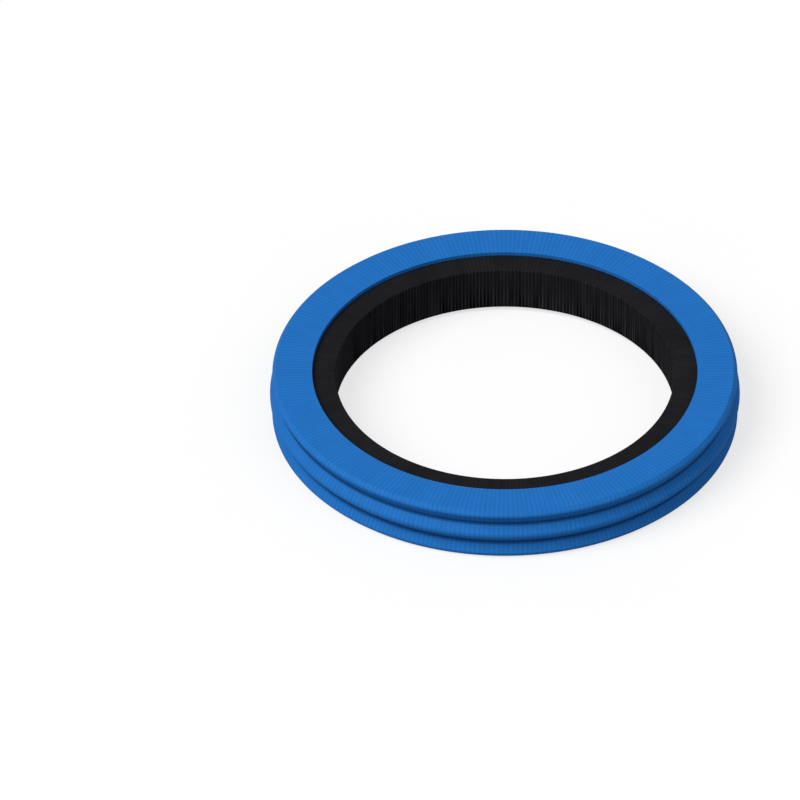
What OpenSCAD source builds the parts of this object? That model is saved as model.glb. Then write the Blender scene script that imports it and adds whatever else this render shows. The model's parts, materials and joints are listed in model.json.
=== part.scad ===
// Two-piece piston seal: a ribbed sealing ring with a rubber energiser ring seated inside it.
// The seal lies flat: its axis is Z, its lower side face is at Z = 0, and the axis runs through X = Y = 0.
// Each ring is one revolved section. A section is drawn with its origin on the crown of the middle rib:
// X runs along the radius, outward, and Y runs along the axis, from the middle of the seal's width.

/* [Seal] */
// Diameter over the middle rib, which is the bore of the cylinder
outer_d = 50; // [30:0.5:250]

/* [Sealing ring] */
// Width along the axis, a little less than the piston groove
ring_w = 6; // [5.6:0.1:9]
// Depth from the middle rib's crown to the energiser's crown
crown_wall = 2; // [1.2:0.1:6]
// Break on the outer corners of the two lips
lip_break = 0.1; // [0.05:0.05:0.3]

/* [Ribs] */
// Radius of the middle rib's crown
rib_radius = 0.56; // [0.3:0.02:0.8]
// Distance from each side face in to the crown of its side rib
side_rib_inset = 0.55; // [0.4:0.05:1]
// How much lower the side ribs stand than the middle rib
side_rib_drop = 0.24; // [0:0.02:0.4]
// Radius of the side ribs' crowns
side_rib_radius = 0.36; // [0.2:0.02:0.5]
// Slope of the shoulder from a side rib's crown down to the side face
shoulder_angle = 45; // [30:1:60]
// Depth of the two grooves between the ribs, below the middle rib's crown
groove_depth = 0.85; // [0.5:0.05:1.2]
// Radius at the root of each groove
groove_radius = 0.28; // [0.1:0.02:0.5]

/* [Energiser ring] */
// Width along the axis, twice the radius of its crown
energiser_w = 5; // [3:0.1:5.4]
// Depth of the straight-sided base, from the lips in to the bore
energiser_base = 2.5; // [0.5:0.1:8]
// Radius of the two corners at the bore
corner_radius = 0.15; // [0.05:0.05:0.4]
// Gap all round between the energiser and its seat
seat_clearance = 0.02; // [0:0.01:0.1]

/* [Hidden] */
$fn = 180;
arc_fn = 96;

// How far a flank runs inside its arcs, so that they cross and don't only touch
bite = 0.0001;

half_w = ring_w / 2;
side_rib_offset = half_w - side_rib_inset;
groove_offset = side_rib_offset / 2;
energiser_radius = energiser_w / 2;
seat_radius = energiser_radius + seat_clearance;
lip_x = -crown_wall - energiser_radius;
bore_x = lip_x - energiser_base;

// Centres of the arcs of the ribbed face, on the upper half
rib_centre = [-rib_radius, 0];
groove_centre = [groove_radius - groove_depth, groove_offset];
side_rib_centre = [-side_rib_drop - side_rib_radius, side_rib_offset];

// Point at a distance and at an angle from the radial direction
function polar(r, angle) = [r * cos(angle), r * sin(angle)];

// Direction in which a flank faces that touches a rib's arc and a groove's arc
function flank(rib, groove, radii, side) =
    let (
        line = groove - rib,
        swing = acos((radii - 2 * bite) / norm(line))
    )
    atan2(line[1], line[0]) + side * swing;

inner_flank = flank(rib_centre, groove_centre, rib_radius + groove_radius, -1);
outer_flank = flank(side_rib_centre, groove_centre, side_rib_radius + groove_radius, 1);
shoulder_top = side_rib_centre + polar(side_rib_radius - bite, shoulder_angle);
shoulder_drop = (half_w - shoulder_top[1]) * tan(shoulder_angle);

// Corners of the upper half of the sealing ring's section, from the middle rib round to the lip
corners = [
    rib_centre + polar(rib_radius - bite, inner_flank),
    groove_centre - polar(groove_radius - bite, inner_flank),
    groove_centre - polar(groove_radius - bite, outer_flank),
    side_rib_centre + polar(side_rib_radius - bite, outer_flank),
    shoulder_top,
    [shoulder_top[0] - shoulder_drop, half_w],
    [lip_x + lip_break, half_w],
    [lip_x, half_w - lip_break]
];
mirrored_corners = [for (i = [len(corners) - 1:-1:0]) [corners[i][0], -corners[i][1]]];

// Disc that starts and ends on its inner side, so that its outer side is one unbroken arc
module round(r) {
    rotate(180)
        circle(r = r, $fn = arc_fn);
}

module both_sides(centre) {
    for (side = [-1, 1])
        translate([centre[0], side * centre[1]])
            children();
}

module sealing_section() {
    difference() {
        union() {
            polygon(concat(corners, mirrored_corners));
            translate(rib_centre)
                round(rib_radius);
            both_sides(side_rib_centre)
                round(side_rib_radius);
        }
        both_sides(groove_centre)
            circle(r = groove_radius, $fn = arc_fn);
        translate([lip_x, 0])
            round(seat_radius);
    }
}

module energiser_section() {
    // Straight-sided base with a rounded corner on each side of the bore
    both_sides([bore_x + corner_radius, energiser_radius - corner_radius])
        circle(r = corner_radius, $fn = arc_fn);
    translate([bore_x, corner_radius - energiser_radius])
        square([energiser_base, energiser_w - 2 * corner_radius]);
    translate([bore_x + corner_radius, -energiser_radius])
        square([energiser_base - corner_radius, energiser_w]);
    // Half-round crown
    intersection() {
        translate([lip_x, 0])
            round(energiser_radius);
        translate([lip_x, -energiser_radius])
            square([energiser_radius, energiser_w]);
    }
}

// Revolves a section into a ring that stands on the side face
module ring() {
    translate([0, 0, half_w])
        rotate_extrude()
            translate([outer_d / 2, 0])
                children();
}

// Polyurethane ring with three ribs outside and a half-round seat inside
module sealing_ring() {
    color("#2874BE")
        ring()
            sealing_section();
}

// Rubber ring of D section that presses the sealing ring outward
module energiser_ring() {
    color("#26272A")
        ring()
            energiser_section();
}

sealing_ring();
energiser_ring();
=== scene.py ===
"""Looks of a two-piece piston seal: a turned polyurethane ring around a moulded rubber ring.

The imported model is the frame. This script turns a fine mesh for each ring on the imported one's section,
with its edges rounded, gives it its material, and adds the floor, the lamps and the camera. It is laid
out as an add-on and run as a script.
"""

import json
import math

import bmesh
import bpy
from bpy.props import FloatProperty, FloatVectorProperty, IntProperty, PointerProperty
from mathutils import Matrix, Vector


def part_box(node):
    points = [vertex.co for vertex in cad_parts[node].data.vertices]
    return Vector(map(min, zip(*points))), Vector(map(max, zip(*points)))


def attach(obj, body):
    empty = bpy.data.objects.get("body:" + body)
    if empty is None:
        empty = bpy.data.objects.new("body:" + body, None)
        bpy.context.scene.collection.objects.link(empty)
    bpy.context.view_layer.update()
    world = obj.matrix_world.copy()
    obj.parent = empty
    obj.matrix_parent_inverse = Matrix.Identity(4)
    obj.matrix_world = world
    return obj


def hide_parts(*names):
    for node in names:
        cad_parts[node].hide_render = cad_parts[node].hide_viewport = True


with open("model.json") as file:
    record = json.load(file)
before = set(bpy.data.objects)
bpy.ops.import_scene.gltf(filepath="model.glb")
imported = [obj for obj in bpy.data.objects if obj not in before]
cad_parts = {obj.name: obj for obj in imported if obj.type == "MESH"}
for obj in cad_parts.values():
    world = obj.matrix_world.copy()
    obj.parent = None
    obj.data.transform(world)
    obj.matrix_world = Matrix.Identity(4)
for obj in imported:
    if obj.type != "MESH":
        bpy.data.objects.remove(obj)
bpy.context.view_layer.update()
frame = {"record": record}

bl_info = {
    "name": "Piston seal",
    "version": (1, 0, 0),
    "blender": (4, 5, 0),
    "location": "View3D > Sidebar > Piston Seal",
    "description": "Makes the two rings of a piston seal and sets them on a pale floor",
    "category": "Object",
}

MM = 0.001
QUARTER = math.pi / 2

# Steps of the rings' and the floor's full turn, and the largest step along a rounded corner
TURN_STEPS = 360
FLOOR_STEPS = 96
CORNER_STEP = math.radians(7.5)

# The picture is 800 pixels square. The ring is 469.9 of them wide, and its middle lies here.
PICTURE_PX = 800
RING_WIDTH_PX = 469.9
RING_MIDDLE_PX = (504.9, 392.8)

# The view has no perspective, so this only keeps the camera clear of the seal
CAMERA_DISTANCE = 0.5

# Where the two lamps stand, both in front: the stronger one at the left and the weaker one at the right
KEY_FROM = (-0.556, -0.314, 0.770)
FILL_FROM = (0.5, -0.5, 0.707)

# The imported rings, whose sizes the turned ones share
SEALING_LOW, SEALING_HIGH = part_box("sealing_ring")
ENERGISER_LOW, ENERGISER_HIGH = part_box("energiser_ring")
MOUNTS = {mount["name"]: mount for mount in frame["record"]["mounts"]}
BORE_RADIUS = MOUNTS["piston_bore"]["dims"]["r_mm"] * MM

# Where nearly all of a noise texture's values lie
NOISE_SPAN = {"From Min": 0.3, "From Max": 0.7}

# A mask that falls from one to nothing
FALLING = {"To Min": 1, "To Max": 0}

# What the marks make of the polyurethane: shares of its colour, the roughness that the tool's lines
# leave, and how much rougher the grooves are
CHATTER_TONE = {"To Min": 0.91, "To Max": 1.11}
MOTTLE_TONE = {"To Min": 0.98, "To Max": 1.02}
# Painted shade: how dark the roots of the grooves are painted, as a share of the polyurethane's colour
PAINTED_GROOVE_SHADE = {"To Min": 1, "To Max": 0.4}
TOOL_ROUGHNESS = {"To Min": 0.56, "To Max": 0.68}
GROOVE_ROUGHNESS = {"To Min": 0, "To Max": 0.15}

# What they make of the rubber: shares of its colour, and its roughness from the barest to the most bloomed
DRAG_TONE = {"To Min": 1, "To Max": 3.4}
BLOOM_TONE = {"To Min": 0.9, "To Max": 1.15}
BLOOM_ROUGHNESS = {"To Min": 0.8, "To Max": 0.92}

# How strong the drag lines are, from the bore out over its corner, and from its lower end up to its middle
DRAG_OUTWARD = {"To Min": 1, "To Max": 0.3}
DRAG_UPWARD = {"To Min": 1.6, "To Max": 0.7}

# About the mean of the drag lines, which leaves the rubber's own colour as it is, and how much deeper
# than the grain they are
DRAG_MEAN = 0.15
DRAG_TO_GRAIN = 2

# How faint the clouds in the floor's card are
CLOUD_TONE = {"To Min": 0.99, "To Max": 1.01}

# Lines across the ring that one blot of noise covers, and how far it reaches along them
BLOT_LINES = 1.6
BLOT_REACH = 6 * MM

# How far a blot lifts or lowers its lines, as a share of what it can take off their rise
BLOT_LIFT = 1 / 6


def linear(code):
    """Linear RGB of an sRGB hex colour such as "#2670BC"."""
    steps = [int(code[i:i + 2], 16) / 255 for i in (1, 3, 5)]
    return tuple(s / 12.92 if s <= 0.04045 else ((s + 0.055) / 1.055) ** 2.4 for s in steps)


class SealSizes(bpy.types.PropertyGroup):
    """Sizes of the two sections. The wall, the drop and the depth start at the middle rib's crown."""

    outer_radius: FloatProperty(
        name="Outer radius", description="From the axis to the crown of the middle rib",
        unit="LENGTH", precision=5, min=10 * MM, max=200 * MM, default=SEALING_HIGH.x)
    ring_width: FloatProperty(
        name="Width", description="Width of the sealing ring along the axis",
        unit="LENGTH", precision=5, min=2 * MM, max=20 * MM, default=SEALING_HIGH.z - SEALING_LOW.z)
    crown_wall: FloatProperty(
        name="Crown wall", description="From the middle rib's crown to the rubber ring's crown",
        unit="LENGTH", precision=5, min=1 * MM, max=10 * MM, default=SEALING_HIGH.x - ENERGISER_HIGH.x)
    rib_radius: FloatProperty(
        name="Rib radius", description="Radius of the middle rib's crown",
        unit="LENGTH", precision=5, min=0.1 * MM, max=2 * MM, default=0.56 * MM)
    side_rib_inset: FloatProperty(
        name="Side rib inset", description="From each side face in to the crown of its side rib",
        unit="LENGTH", precision=5, min=0.2 * MM, max=2 * MM, default=0.55 * MM)
    side_rib_drop: FloatProperty(
        name="Side rib drop", description="How much lower the side ribs stand than the middle rib",
        unit="LENGTH", precision=5, min=0, max=1 * MM, default=0.24 * MM)
    side_rib_radius: FloatProperty(
        name="Side rib radius", description="Radius of the side ribs' crowns",
        unit="LENGTH", precision=5, min=0.1 * MM, max=1 * MM, default=0.36 * MM)
    shoulder_angle: FloatProperty(
        name="Shoulder angle", description="Slope from a side rib's crown down to the side face",
        subtype="ANGLE", min=math.radians(20), max=math.radians(70), default=math.radians(45))
    groove_depth: FloatProperty(
        name="Groove depth", description="Depth of the two grooves below the middle rib's crown",
        unit="LENGTH", precision=5, min=0.2 * MM, max=3 * MM, default=0.85 * MM)
    groove_radius: FloatProperty(
        name="Groove radius", description="Radius at the root of each groove",
        unit="LENGTH", precision=5, min=0.05 * MM, max=1 * MM, default=0.28 * MM)
    lip_break: FloatProperty(
        name="Lip break", description="Rounding of the outer corners of the two lips",
        unit="LENGTH", precision=5, min=0.02 * MM, max=0.5 * MM, default=0.06 * MM)
    turned_edge: FloatProperty(
        name="Turned edge", description="Rounding of the other edges that the tool leaves",
        unit="LENGTH", precision=5, min=0.01 * MM, max=0.2 * MM, default=0.05 * MM)
    energiser_width: FloatProperty(
        name="Rubber ring width", description="Width of the rubber ring along the axis",
        unit="LENGTH", precision=5, min=1 * MM, max=20 * MM, default=ENERGISER_HIGH.z - ENERGISER_LOW.z)
    bore_radius: FloatProperty(
        name="Bore radius", description="From the axis to the flat inner face of the rubber ring",
        unit="LENGTH", precision=5, min=5 * MM, max=200 * MM, default=BORE_RADIUS)
    corner_radius: FloatProperty(
        name="Corner radius", description="Radius of the rubber ring's two corners at the bore",
        unit="LENGTH", precision=5, min=0.02 * MM, max=1 * MM, default=0.15 * MM)
    seat_clearance: FloatProperty(
        name="Seat clearance", description="Gap all round between the rubber ring and its seat",
        unit="LENGTH", precision=5, min=0, max=0.2 * MM, default=0.02 * MM)


class SealLook(bpy.types.PropertyGroup):
    """Colours of the two rings, and the fineness of their marks."""

    polyurethane: FloatVectorProperty(
        name="Polyurethane", description="Colour of the sealing ring",
        subtype="COLOR", size=3, min=0, max=1, default=linear("#216EBC"))
    rubber: FloatVectorProperty(
        name="Rubber", description="Colour of the rubber ring",
        subtype="COLOR", size=3, min=0, max=1, default=linear("#1F1F22"))
    tool_pitch: FloatProperty(
        name="Tool pitch", description="Distance between the lines that the turning tool left",
        unit="LENGTH", precision=5, min=0.05 * MM, max=1 * MM, default=0.35 * MM)
    tool_depth: FloatProperty(
        name="Tool depth", description="Depth of the tool's lines",
        unit="LENGTH", precision=6, min=0, max=0.1 * MM, default=0.006 * MM)
    chatter_lines: IntProperty(
        name="Chatter lines", description="How many faint lines lie across the ring, all the way round",
        min=12, max=2000, default=300)
    mottle_size: FloatProperty(
        name="Mottle size", description="Size of the polyurethane's faint patches",
        unit="LENGTH", precision=5, min=0.5 * MM, max=20 * MM, default=3 * MM)
    # Over this climb from each groove's root, the grooves are painted darker, as painted shade, and are made
    # rougher
    groove_shade_and_dulling: FloatProperty(
        name="Groove tint", description="How far the dull tint climbs from the root of each groove",
        unit="LENGTH", precision=5, min=0.01 * MM, max=2 * MM, default=0.17 * MM)
    rubber_grain: FloatProperty(
        name="Rubber grain", description="Size of the mould's grain in the rubber",
        unit="LENGTH", precision=5, min=0.05 * MM, max=1 * MM, default=0.25 * MM)
    rubber_depth: FloatProperty(
        name="Rubber relief", description="Depth of the rubber's grain",
        unit="LENGTH", precision=6, min=0, max=0.1 * MM, default=0.01 * MM)
    bloom_size: FloatProperty(
        name="Bloom size", description="Size of the grey patches on the rubber",
        unit="LENGTH", precision=5, min=0.5 * MM, max=20 * MM, default=4 * MM)


class SealStage(bpy.types.PropertyGroup):
    """Floor, lamps and camera."""

    camera_height: FloatProperty(
        name="Camera height", description="Angle of the view above the floor",
        subtype="ANGLE", min=0, max=math.radians(90), default=math.radians(37.97))
    key_strength: FloatProperty(
        name="Key lamp", description="Strength of the lamp at the left",
        min=0, max=20, default=2.445)
    fill_strength: FloatProperty(
        name="Fill lamp", description="Strength of the lamp at the right, which opens the grooves",
        min=0, max=20, default=0.45)
    lamp_width: FloatProperty(
        name="Lamp width", description="How wide a lamp looks from the seal, which softens the shadow",
        subtype="ANGLE", min=0, max=math.radians(90), default=math.radians(45))
    sky: FloatProperty(
        name="Sky", description="Strength of the even light from all round",
        min=0, max=2, default=0.3)
    floor_colour: FloatVectorProperty(
        name="Floor", description="Colour of the floor",
        subtype="COLOR", size=3, min=0, max=1, default=linear("#959595"))
    floor_glow: FloatProperty(
        name="Floor glow", description="How much whiter the floor looks than it is lit",
        min=0, max=1, default=0.7)
    floor_radius: FloatProperty(
        name="Floor radius", description="Radius of the round floor",
        unit="LENGTH", min=0.2, max=10, default=3)
    cloud_size: FloatProperty(
        name="Cloud size", description="Size of the floor's faint clouds",
        unit="LENGTH", precision=4, min=2 * MM, max=500 * MM, default=20 * MM)


def arc(centre, radius, start, end, hollow=False):
    """Points of an arc from one angle to another, each with the way that the surface faces there."""
    steps = max(2, math.ceil(abs(end - start) / CORNER_STEP))
    points = []
    for step in range(steps + 1):
        angle = start + (end - start) * step / steps
        out = Vector((math.cos(angle), math.sin(angle)))
        points.append((centre + out * radius, -out if hollow else out))
    return points


def flank(rib, groove, radii, side):
    """Angle at which the flank faces that touches a rib's arc and a groove's arc."""
    line = groove - rib
    return math.atan2(line.y, line.x) + side * math.acos(radii / line.length)


def whole(upper):
    """A whole section from its upper half, which starts and ends on the middle line."""
    lower = [(Vector((at.x, -at.y)), Vector((way.x, -way.y))) for at, way in upper[-2:0:-1]]
    return upper + lower


def sealing_section(sizes):
    """Section of the sealing ring, from the middle rib's crown round by the lip to the seat."""
    half = sizes.ring_width / 2
    edge = sizes.turned_edge
    lip = -sizes.crown_wall - sizes.energiser_width / 2
    seat = sizes.energiser_width / 2 + sizes.seat_clearance
    shoulder = sizes.shoulder_angle
    rib = Vector((-sizes.rib_radius, 0))
    side_rib = Vector((-sizes.side_rib_drop - sizes.side_rib_radius, half - sizes.side_rib_inset))
    groove = Vector((sizes.groove_radius - sizes.groove_depth, side_rib.y / 2))
    inner = flank(rib, groove, sizes.rib_radius + sizes.groove_radius, -1)
    outer = flank(side_rib, groove, sizes.side_rib_radius + sizes.groove_radius, 1)
    top = side_rib + sizes.side_rib_radius * Vector((math.cos(shoulder), math.sin(shoulder)))
    foot = top.x - (half - top.y) * math.tan(shoulder) - edge * math.tan((QUARTER - shoulder) / 2)
    return whole([
        *arc(rib, sizes.rib_radius, 0, inner),
        *arc(groove, sizes.groove_radius, math.pi + inner, math.pi + outer, hollow=True),
        *arc(side_rib, sizes.side_rib_radius, outer, shoulder),
        *arc(Vector((foot, half - edge)), edge, shoulder, QUARTER),
        *arc(Vector((lip + sizes.lip_break, half - sizes.lip_break)), sizes.lip_break, QUARTER, math.pi),
        *arc(Vector((lip + edge, seat + edge)), edge, math.pi, 3 * QUARTER),
        *arc(Vector((lip, 0)), seat, QUARTER - math.asin(edge / seat), 0, hollow=True),
    ])


def energiser_section(sizes):
    """Section of the rubber ring, from its round crown to its flat bore."""
    crown = sizes.energiser_width / 2
    corner = sizes.corner_radius
    lip = -sizes.crown_wall - crown
    bore = sizes.bore_radius - sizes.outer_radius
    return whole([
        *arc(Vector((lip, 0)), crown, 0, QUARTER),
        *arc(Vector((bore + corner, crown - corner)), corner, QUARTER, math.pi),
        (Vector((bore, 0)), Vector((-1, 0))),
    ])


def turn(name, section, sizes, node, material):
    """Turns a section into a ring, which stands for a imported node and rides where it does."""
    count = len(section)
    points = []
    ways = []
    faces = []
    for step in range(TURN_STEPS):
        bearing = 2 * math.pi * step / TURN_STEPS
        c = math.cos(bearing)
        s = math.sin(bearing)
        for at, way in section:
            radius = sizes.outer_radius + at.x
            points.append((radius * c, radius * s, sizes.ring_width / 2 + at.y))
            ways.append((way.x * c, way.x * s, way.y))
        here = step * count
        there = (step + 1) % TURN_STEPS * count
        for i in range(count):
            j = (i + 1) % count
            faces.append((here + i, there + i, there + j, here + j))
    mesh = bpy.data.meshes.new(name)
    mesh.from_pydata(points, [], faces)
    mesh.polygons.foreach_set("use_smooth", [True] * len(faces))
    mesh.normals_split_custom_set_from_vertices(ways)
    mesh.materials.append(material)
    ring = bpy.data.objects.new(name, mesh)
    bpy.context.scene.collection.objects.link(ring)
    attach(ring, "root")
    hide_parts(node)


def add(tree, kind, inputs=None, **settings):
    """Adds a node, sets its properties, and gives its inputs a value or a link from a socket."""
    made = tree.nodes.new(kind)
    for name, value in settings.items():
        setattr(made, name, value)
    for name, value in (inputs or {}).items():
        if isinstance(value, bpy.types.NodeSocket):
            tree.links.new(value, made.inputs[name])
        else:
            made.inputs[name].default_value = value
    return made


def new_material(name):
    """A material with an empty node tree."""
    material = bpy.data.materials.new(name)
    material.use_nodes = True
    material.node_tree.nodes.clear()
    return material, material.node_tree


def ring_coordinates(tree):
    """A point's place, its bearing as a unit vector, which has no seam, its radius and its height."""
    place = add(tree, "ShaderNodeTexCoord").outputs["Object"]
    split = add(tree, "ShaderNodeSeparateXYZ", {0: place}).outputs
    flat = add(tree, "ShaderNodeCombineXYZ", {"X": split["X"], "Y": split["Y"]}).outputs[0]
    bearing = add(tree, "ShaderNodeVectorMath", {0: flat}, operation="NORMALIZE").outputs["Vector"]
    radius = add(tree, "ShaderNodeVectorMath", {0: flat}, operation="LENGTH").outputs["Value"]
    return place, bearing, radius, split["Z"]


def lines_round(tree, bearing, radius, height, pitch):
    """Noise in lines that run round the ring, a pitch apart, and fade in and out on their way."""
    section = add(tree, "ShaderNodeCombineXYZ", {"X": radius, "Y": height}).outputs[0]
    in_pitches = {0: section, "Scale": 1 / pitch}
    spread = add(tree, "ShaderNodeVectorMath", in_pitches, operation="SCALE").outputs[0]
    way = add(tree, "ShaderNodeSeparateXYZ", {0: bearing}).outputs
    drift = add(tree, "ShaderNodeCombineXYZ", {"Z": way["X"]}).outputs[0]
    at = add(tree, "ShaderNodeVectorMath", {0: spread, 1: drift}, operation="ADD").outputs[0]
    noise = {"Vector": at, "W": way["Y"], "Scale": 1, "Detail": 1}
    return add(tree, "ShaderNodeTexNoise", noise, noise_dimensions="4D").outputs["Fac"]


def lines_across(tree, bearing, radius, height, count, sharpness, uneven):
    """Lines that run out from the axis and along it, so many of them all the way round. They rise from
    nothing up to one. The sharper they are, the thinner is each line and the wider the space to the
    next. The more uneven they are, the lower some of them stay, and the more a few of them, side by
    side, lie above or below the rest."""
    way = add(tree, "ShaderNodeSeparateXYZ", {0: bearing}).outputs
    angle = add(tree, "ShaderNodeMath", {0: way["Y"], 1: way["X"]}, operation="ARCTAN2").outputs[0]
    phase = add(tree, "ShaderNodeMath", {0: angle, 1: count}, operation="MULTIPLY").outputs[0]
    wave = add(tree, "ShaderNodeMath", {0: phase}, operation="SINE").outputs[0]
    lifted = add(tree, "ShaderNodeMapRange", {"Value": wave, "From Min": -1}).outputs[0]
    crest = add(tree, "ShaderNodeMath", {0: lifted, 1: sharpness}, operation="POWER").outputs[0]
    in_blots = {0: bearing, "Scale": count / (2 * math.pi * BLOT_LINES)}
    across = add(tree, "ShaderNodeVectorMath", in_blots, operation="SCALE").outputs[0]
    run = add(tree, "ShaderNodeMath", {0: radius, 1: height}, operation="ADD").outputs[0]
    along = add(tree, "ShaderNodeMath", {0: run, 1: BLOT_REACH}, operation="DIVIDE").outputs[0]
    upward = add(tree, "ShaderNodeCombineXYZ", {"Z": along}).outputs[0]
    at = add(tree, "ShaderNodeVectorMath", {0: across, 1: upward}, operation="ADD").outputs[0]
    blots = add(tree, "ShaderNodeTexNoise", {"Vector": at, "Scale": 1}).outputs
    rise = add(tree, "ShaderNodeMapRange", {**NOISE_SPAN, "Value": blots["Fac"], "To Min": 1 - uneven})
    other = add(tree, "ShaderNodeSeparateColor", {"Color": blots["Color"]}).outputs["Green"]
    lift = add(tree, "ShaderNodeMapRange", {
        **NOISE_SPAN,
        "Value": other,
        "To Min": -uneven * BLOT_LIFT,
        "To Max": uneven * BLOT_LIFT,
    })
    line = {0: crest, 1: rise.outputs[0], 2: lift.outputs[0]}
    return add(tree, "ShaderNodeMath", line, operation="MULTIPLY_ADD").outputs[0]


def in_the_grooves(tree, radius, height, sizes, climb):
    """One at the roots of the two grooves, fading out as it climbs their flanks, and nothing elsewhere. It
    sets where the grooves are painted darker, as painted shade, and where they are made rougher.
    """
    root = sizes.outer_radius - sizes.groove_depth
    low = add(tree, "ShaderNodeMapRange", {
        **FALLING,
        "Value": radius,
        "From Min": root,
        "From Max": root + climb,
    })
    middle = sizes.ring_width / 2
    side_rib = middle - sizes.side_rib_inset
    off_middle = add(tree, "ShaderNodeMath", {0: height, 1: middle}, operation="SUBTRACT").outputs[0]
    away = add(tree, "ShaderNodeMath", {0: off_middle}, operation="ABSOLUTE").outputs[0]
    between_ribs = add(tree, "ShaderNodeMapRange", {
        **FALLING,
        "Value": away,
        "From Min": side_rib - sizes.side_rib_radius,
        "From Max": side_rib,
    })
    both = {0: low.outputs[0], 1: between_ribs.outputs[0]}
    return add(tree, "ShaderNodeMath", both, operation="MULTIPLY").outputs[0]


def turned_polyurethane(look, sizes):
    """Turned polyurethane, cut on a lathe from a cast tube: satin and even in colour. The tool leaves
    fine lines round the ring and a faint chatter across them, and it drags in the grooves, which are rougher
    than the ribs. The roots of the grooves are also painted darker, down to 0.4 of the colour: partly for
    the dull tool marks, and partly painted shade that deepens them. The real lines are 0.1 mm apart and are
    drawn coarser, to show."""
    material, tree = new_material("turned_polyurethane")
    place, bearing, radius, height = ring_coordinates(tree)
    tool = lines_round(tree, bearing, radius, height, look.tool_pitch)
    chatter = lines_across(tree, bearing, radius, height, look.chatter_lines, sharpness=1, uneven=0.45)
    mottle = add(tree, "ShaderNodeTexNoise", {"Vector": place, "Scale": 1 / look.mottle_size}).outputs["Fac"]
    groove = in_the_grooves(tree, radius, height, sizes, look.groove_shade_and_dulling)
    striped = add(tree, "ShaderNodeMapRange", {**CHATTER_TONE, "Value": chatter})
    mottled = add(tree, "ShaderNodeMapRange", {**NOISE_SPAN, **MOTTLE_TONE, "Value": mottle})
    # Painted shade: the roots of the grooves are painted darker
    groove_shade = add(tree, "ShaderNodeMapRange", {**PAINTED_GROOVE_SHADE, "Value": groove})
    on_the_ribs = {0: striped.outputs[0], 1: mottled.outputs[0]}
    marked = add(tree, "ShaderNodeMath", on_the_ribs, operation="MULTIPLY").outputs[0]
    everywhere = {0: marked, 1: groove_shade.outputs[0]}
    tone = add(tree, "ShaderNodeMath", everywhere, operation="MULTIPLY").outputs[0]
    toned = {0: look.polyurethane, "Scale": tone}
    colour = add(tree, "ShaderNodeVectorMath", toned, operation="SCALE")
    satin = add(tree, "ShaderNodeMapRange", {**NOISE_SPAN, **TOOL_ROUGHNESS, "Value": tool})
    dull = add(tree, "ShaderNodeMapRange", {**GROOVE_ROUGHNESS, "Value": groove})
    roughness = add(tree, "ShaderNodeMath", {0: satin.outputs[0], 1: dull.outputs[0]}, operation="ADD")
    marks = add(tree, "ShaderNodeMath", {0: tool, 1: chatter}, operation="ADD")
    relief = add(tree, "ShaderNodeBump", {"Height": marks.outputs[0], "Distance": look.tool_depth})
    shader = add(tree, "ShaderNodeBsdfPrincipled", {
        "Base Color": colour.outputs[0],
        "Roughness": roughness.outputs[0],
        "Normal": relief.outputs[0],
        "IOR": 1.5,
        "Specular IOR Level": 0.06,
    })
    add(tree, "ShaderNodeOutputMaterial", {"Surface": shader.outputs[0]})
    return material


def moulded_rubber(look, sizes):
    """Nitrile rubber, pressed in a steel mould: matt black, with the mould's fine grain, a faint grey
    bloom in patches, and drag lines. They are strongest in the bore, where it slid off the core, and
    there at the lower end, which left the core last. The real grain is about 0.05 mm, and it is drawn
    coarser, to show."""
    material, tree = new_material("moulded_nitrile_rubber")
    place, bearing, radius, height = ring_coordinates(tree)
    grain = add(tree, "ShaderNodeTexNoise", {"Vector": place, "Scale": 1 / look.rubber_grain}).outputs["Fac"]
    bloom = add(tree, "ShaderNodeTexNoise", {"Vector": place, "Scale": 1 / look.bloom_size}).outputs["Fac"]
    lines = lines_across(tree, bearing, radius, height, look.chatter_lines, sharpness=4, uneven=0.9)
    bore = add(tree, "ShaderNodeMapRange", {
        **DRAG_OUTWARD,
        "Value": radius,
        "From Min": sizes.bore_radius,
        "From Max": sizes.bore_radius + sizes.corner_radius,
    })
    lower_end = add(tree, "ShaderNodeMapRange", {
        **DRAG_UPWARD,
        "Value": height,
        "From Min": (sizes.ring_width - sizes.energiser_width) / 2,
        "From Max": sizes.ring_width / 2,
    })
    where = {0: bore.outputs[0], 1: lower_end.outputs[0]}
    strength = add(tree, "ShaderNodeMath", where, operation="MULTIPLY").outputs[0]
    off_mean = add(tree, "ShaderNodeMath", {0: lines, 1: DRAG_MEAN}, operation="SUBTRACT").outputs[0]
    drag = add(tree, "ShaderNodeMath", {0: off_mean, 1: strength}, operation="MULTIPLY").outputs[0]
    striped = add(tree, "ShaderNodeMapRange", {**DRAG_TONE, "Value": drag}, clamp=False)
    bloomed = add(tree, "ShaderNodeMapRange", {**NOISE_SPAN, **BLOOM_TONE, "Value": bloom})
    both = {0: striped.outputs[0], 1: bloomed.outputs[0]}
    tone = add(tree, "ShaderNodeMath", both, operation="MULTIPLY").outputs[0]
    colour = add(tree, "ShaderNodeVectorMath", {0: look.rubber, "Scale": tone}, operation="SCALE")
    matt = add(tree, "ShaderNodeMapRange", {**NOISE_SPAN, **BLOOM_ROUGHNESS, "Value": bloom})
    marks = add(tree, "ShaderNodeMath", {0: drag, 1: DRAG_TO_GRAIN, 2: grain}, operation="MULTIPLY_ADD")
    relief = add(tree, "ShaderNodeBump", {"Height": marks.outputs[0], "Distance": look.rubber_depth})
    shader = add(tree, "ShaderNodeBsdfPrincipled", {
        "Base Color": colour.outputs[0],
        "Roughness": matt.outputs[0],
        "Normal": relief.outputs[0],
        "IOR": 1.52,
        "Specular IOR Level": 0.005,
    })
    add(tree, "ShaderNodeOutputMaterial", {"Surface": shader.outputs[0]})
    return material


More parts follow.
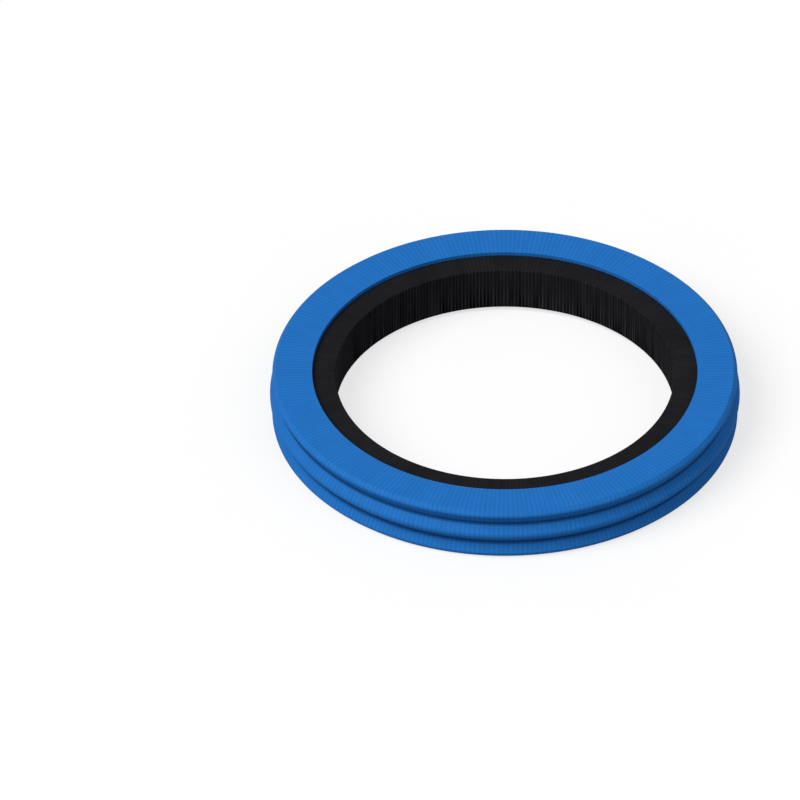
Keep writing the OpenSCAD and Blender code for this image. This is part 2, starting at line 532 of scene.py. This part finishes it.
def shows_the_background(tree):
    """One for the rays that show what lies behind: the camera's own, and those that a gloss mirrors or
    that pass through something clear. Nothing for the light that falls on the seal."""
    path = add(tree, "ShaderNodeLightPath").outputs
    seen_or_mirrored = {0: path["Is Camera Ray"], 1: path["Is Glossy Ray"]}
    either = add(tree, "ShaderNodeMath", seen_or_mirrored, operation="MAXIMUM").outputs[0]
    or_clear = {0: either, 1: path["Is Transmission Ray"]}
    return add(tree, "ShaderNodeMath", or_clear, operation="MAXIMUM").outputs[0]


def white_card(stage):
    """Matt white card, pressed from paper pulp, which leaves it faintly cloudy. It glows a little for
    the rays that show it, so that it reads as white while the seal's shadow still shows on it."""
    material, tree = new_material("white_card")
    place = add(tree, "ShaderNodeTexCoord").outputs["Object"]
    cloud = add(tree, "ShaderNodeTexNoise", {"Vector": place, "Scale": 1 / stage.cloud_size}).outputs["Fac"]
    tone = add(tree, "ShaderNodeMapRange", {**NOISE_SPAN, **CLOUD_TONE, "Value": cloud})
    toned = {0: stage.floor_colour, "Scale": tone.outputs[0]}
    colour = add(tree, "ShaderNodeVectorMath", toned, operation="SCALE")
    card = add(tree, "ShaderNodeBsdfDiffuse", {"Color": colour.outputs[0]})
    seen = shows_the_background(tree)
    strength = add(tree, "ShaderNodeMath", {0: seen, 1: stage.floor_glow}, operation="MULTIPLY")
    glow = add(tree, "ShaderNodeEmission", {"Strength": strength.outputs[0]})
    both = add(tree, "ShaderNodeAddShader", {0: card.outputs[0], 1: glow.outputs[0]})
    add(tree, "ShaderNodeOutputMaterial", {"Surface": both.outputs[0]})
    return material


def make_floor(stage):
    """A round floor that the seal lies on."""
    mesh = bpy.data.meshes.new("floor")
    shape = bmesh.new()
    bmesh.ops.create_circle(shape, cap_ends=True, radius=stage.floor_radius, segments=FLOOR_STEPS)
    shape.to_mesh(mesh)
    shape.free()
    mesh.materials.append(white_card(stage))
    floor = bpy.data.objects.new("floor", mesh)
    bpy.context.scene.collection.objects.link(floor)


def make_sky(stage):
    """Even light from all round, which itself looks white."""
    world = bpy.data.worlds.new("studio")
    bpy.context.scene.world = world
    world.use_nodes = True
    tree = world.node_tree
    tree.nodes.clear()
    seen = shows_the_background(tree)
    light = add(tree, "ShaderNodeBackground", {"Color": (1, 1, 1, 1), "Strength": stage.sky})
    white = add(tree, "ShaderNodeBackground", {"Color": (1, 1, 1, 1), "Strength": 1})
    either = add(tree, "ShaderNodeMixShader", {0: seen, 1: light.outputs[0], 2: white.outputs[0]})
    add(tree, "ShaderNodeOutputWorld", {"Surface": either.outputs[0]})


def make_lamp(name, stands, strength, width):
    """A wide, soft lamp, so far away that it lights the whole floor evenly."""
    lamp = bpy.data.lights.new(name, "SUN")
    lamp.energy = strength
    lamp.angle = width
    holder = bpy.data.objects.new(name, lamp)
    bpy.context.scene.collection.objects.link(holder)
    holder.location = stands
    holder.rotation_euler = Vector(stands).to_track_quat("Z", "Y").to_euler()


def make_camera(stage, sizes):
    """Looks along +Y and down, without perspective, with the ring where it is in the picture."""
    data = bpy.data.cameras.new("camera")
    data.type = "ORTHO"
    pixel = 2 * sizes.outer_radius / RING_WIDTH_PX
    data.ortho_scale = pixel * PICTURE_PX
    camera = bpy.data.objects.new("camera", data)
    bpy.context.scene.collection.objects.link(camera)
    tilt = stage.camera_height
    back = Vector((0, -math.cos(tilt), math.sin(tilt)))
    up = Vector((0, math.sin(tilt), math.cos(tilt)))
    to_right = (RING_MIDDLE_PX[0] - PICTURE_PX / 2) * pixel
    upward = (PICTURE_PX / 2 - RING_MIDDLE_PX[1]) * pixel
    middle = Vector((-to_right, 0, sizes.ring_width / 2)) - up * upward
    camera.location = middle + back * CAMERA_DISTANCE
    camera.rotation_euler = (QUARTER - tilt, 0, 0)
    bpy.context.scene.camera = camera


class SEAL_OT_turn_sealing_ring(bpy.types.Operator):
    """Makes the ribbed ring of turned polyurethane"""

    bl_idname = "seal.turn_sealing_ring"
    bl_label = "Turn the sealing ring"

    def execute(self, context):
        sizes = context.scene.seal_sizes
        material = turned_polyurethane(context.scene.seal_look, sizes)
        section = sealing_section(sizes)
        turn("turned_sealing_ring", section, sizes, "sealing_ring", material)
        return {"FINISHED"}


class SEAL_OT_mould_energiser_ring(bpy.types.Operator):
    """Makes the rubber ring that lies in the sealing ring's seat"""

    bl_idname = "seal.mould_energiser_ring"
    bl_label = "Mould the energiser ring"

    def execute(self, context):
        sizes = context.scene.seal_sizes
        material = moulded_rubber(context.scene.seal_look, sizes)
        section = energiser_section(sizes)
        turn("moulded_energiser_ring", section, sizes, "energiser_ring", material)
        return {"FINISHED"}


class SEAL_OT_set_stage(bpy.types.Operator):
    """Makes the floor, the lamps and the camera"""

    bl_idname = "seal.set_stage"
    bl_label = "Set the stage"

    def execute(self, context):
        stage = context.scene.seal_stage
        sizes = context.scene.seal_sizes
        make_floor(stage)
        make_sky(stage)
        make_lamp("key", KEY_FROM, stage.key_strength, stage.lamp_width)
        make_lamp("fill", FILL_FROM, stage.fill_strength, stage.lamp_width)
        make_camera(stage, sizes)
        context.scene.view_settings.view_transform = "Standard"
        return {"FINISHED"}


class SEAL_PT_panel(bpy.types.Panel):
    """Lists the pieces and the values that a user may change"""

    bl_label = "Piston Seal"
    bl_space_type = "VIEW_3D"
    bl_region_type = "UI"
    bl_category = "Piston Seal"

    def draw(self, context):
        for operator in OPERATORS:
            self.layout.operator(operator.bl_idname)
        for group in (context.scene.seal_sizes, context.scene.seal_look, context.scene.seal_stage):
            box = self.layout.box()
            for name in group.__annotations__:
                box.prop(group, name)


OPERATORS = (SEAL_OT_turn_sealing_ring, SEAL_OT_mould_energiser_ring, SEAL_OT_set_stage)
CLASSES = (SealSizes, SealLook, SealStage, *OPERATORS, SEAL_PT_panel)


def register():
    for cls in CLASSES:
        bpy.utils.register_class(cls)
    bpy.types.Scene.seal_sizes = PointerProperty(type=SealSizes)
    bpy.types.Scene.seal_look = PointerProperty(type=SealLook)
    bpy.types.Scene.seal_stage = PointerProperty(type=SealStage)


def unregister():
    del bpy.types.Scene.seal_stage
    del bpy.types.Scene.seal_look
    del bpy.types.Scene.seal_sizes
    for cls in reversed(CLASSES):
        bpy.utils.unregister_class(cls)


def main():
    register()
    bpy.ops.seal.turn_sealing_ring()
    bpy.ops.seal.mould_energiser_ring()
    bpy.ops.seal.set_stage()


if __name__ == "__main__":
    main()
